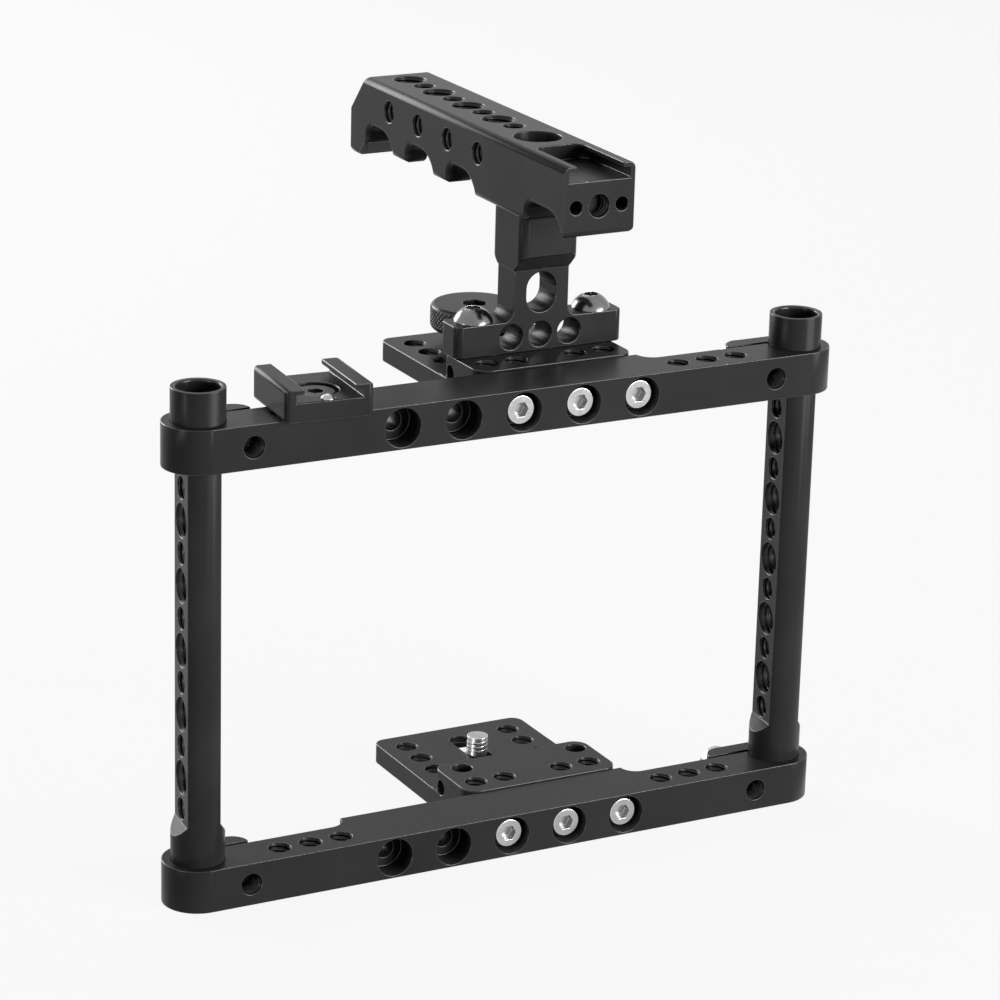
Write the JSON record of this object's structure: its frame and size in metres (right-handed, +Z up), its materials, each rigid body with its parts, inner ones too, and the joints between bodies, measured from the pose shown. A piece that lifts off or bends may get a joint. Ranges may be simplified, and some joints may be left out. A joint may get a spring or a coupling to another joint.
{
  "type": "camera cage",
  "caption": "Black anodised camera cage: clamping bars on drilled rods, mounting plates behind the bars, an accessory shoe, a riser with a top handle, a knurled thumb screw and a base screw.",
  "frame": {"origin": "centre of the bottom bar's underside, level with the rod axes", "axes": "+X along the bars to the cage's right as seen from the front, +Y from the front to the back, +Z up along the rods"},
  "size_m": [0.205, 0.1369, 0.199],
  "materials": {
    "black_anodised": "satin black anodised",
    "stainless": "bright machined",
    "black_steel": "black oxide"
  },
  "bodies": {
    "lower_frame": {"bottom_bar": "black_anodised", "left_rod": "black_anodised", "right_rod": "black_anodised", "bottom_plate": "black_anodised", "bottom_plate_screws": "stainless"},
    "upper_frame": {"top_bar": "black_anodised", "top_plate": "black_anodised", "top_plate_screws": "stainless", "cold_shoe": "black_anodised", "shoe_screw": "black_steel", "shoe_stop_pin": "stainless", "riser": "black_anodised", "riser_screws": "stainless", "handle_grip": "black_anodised", "handle_bolt": "black_steel"},
    "bottom_left_clamp": {"bottom_left_clamp_screw": "stainless"},
    "bottom_right_clamp": {"bottom_right_clamp_screw": "stainless"},
    "top_left_clamp": {"top_left_clamp_screw": "stainless"},
    "top_right_clamp": {"top_right_clamp_screw": "stainless"},
    "thumb_carriage": {"thumb_collar": "black_anodised", "thumb_washer": "stainless"},
    "thumb_screw": {"thumb_knob": "black_anodised", "thumb_stud": "stainless", "thumb_clip": "black_steel"},
    "base_carriage": {"base_screw_washer": "stainless"},
    "base_fixing": {"base_screw": "stainless"}
  },
  "joints": [
    {"name": "top_height", "type": "slide", "parent": "lower_frame", "child": "upper_frame", "axis": [0, 0, 1], "range_m": [-0.1, 0.009]},
    {"name": "bottom_left_clamp_turn", "type": "hinge", "parent": "lower_frame", "child": "bottom_left_clamp", "pos_m": [-0.08065, 0.0084, 0.00625], "axis": [0, 1, 0], "range_deg": [0, 360]},
    {"name": "bottom_right_clamp_turn", "type": "hinge", "parent": "lower_frame", "child": "bottom_right_clamp", "pos_m": [0.08065, 0.0084, 0.00625], "axis": [0, 1, 0], "range_deg": [0, 360]},
    {"name": "top_left_clamp_turn", "type": "hinge", "parent": "upper_frame", "child": "top_left_clamp", "pos_m": [-0.08065, 0.0084, 0.13175], "axis": [0, 1, 0], "range_deg": [0, 360]},
    {"name": "top_right_clamp_turn", "type": "hinge", "parent": "upper_frame", "child": "top_right_clamp", "pos_m": [0.08065, 0.0084, 0.13175], "axis": [0, 1, 0], "range_deg": [0, 360]},
    {"name": "thumb_slide", "type": "slide", "parent": "upper_frame", "child": "thumb_carriage", "axis": [0, 1, 0], "range_m": [-0.0146, 0.0016]},
    {"name": "thumb_turn", "type": "hinge", "parent": "thumb_carriage", "child": "thumb_screw", "pos_m": [0.02, 0.0587, 0.1255], "axis": [0, 0, 1], "continuous": true},
    {"name": "base_slide", "type": "slide", "parent": "lower_frame", "child": "base_carriage", "axis": [0, 1, 0], "range_m": [-0.0063, 0.0103]},
    {"name": "base_turn", "type": "hinge", "parent": "base_carriage", "child": "base_fixing", "pos_m": [0.02, 0.05, 0], "axis": [0, 0, 1], "continuous": true}
  ]
}
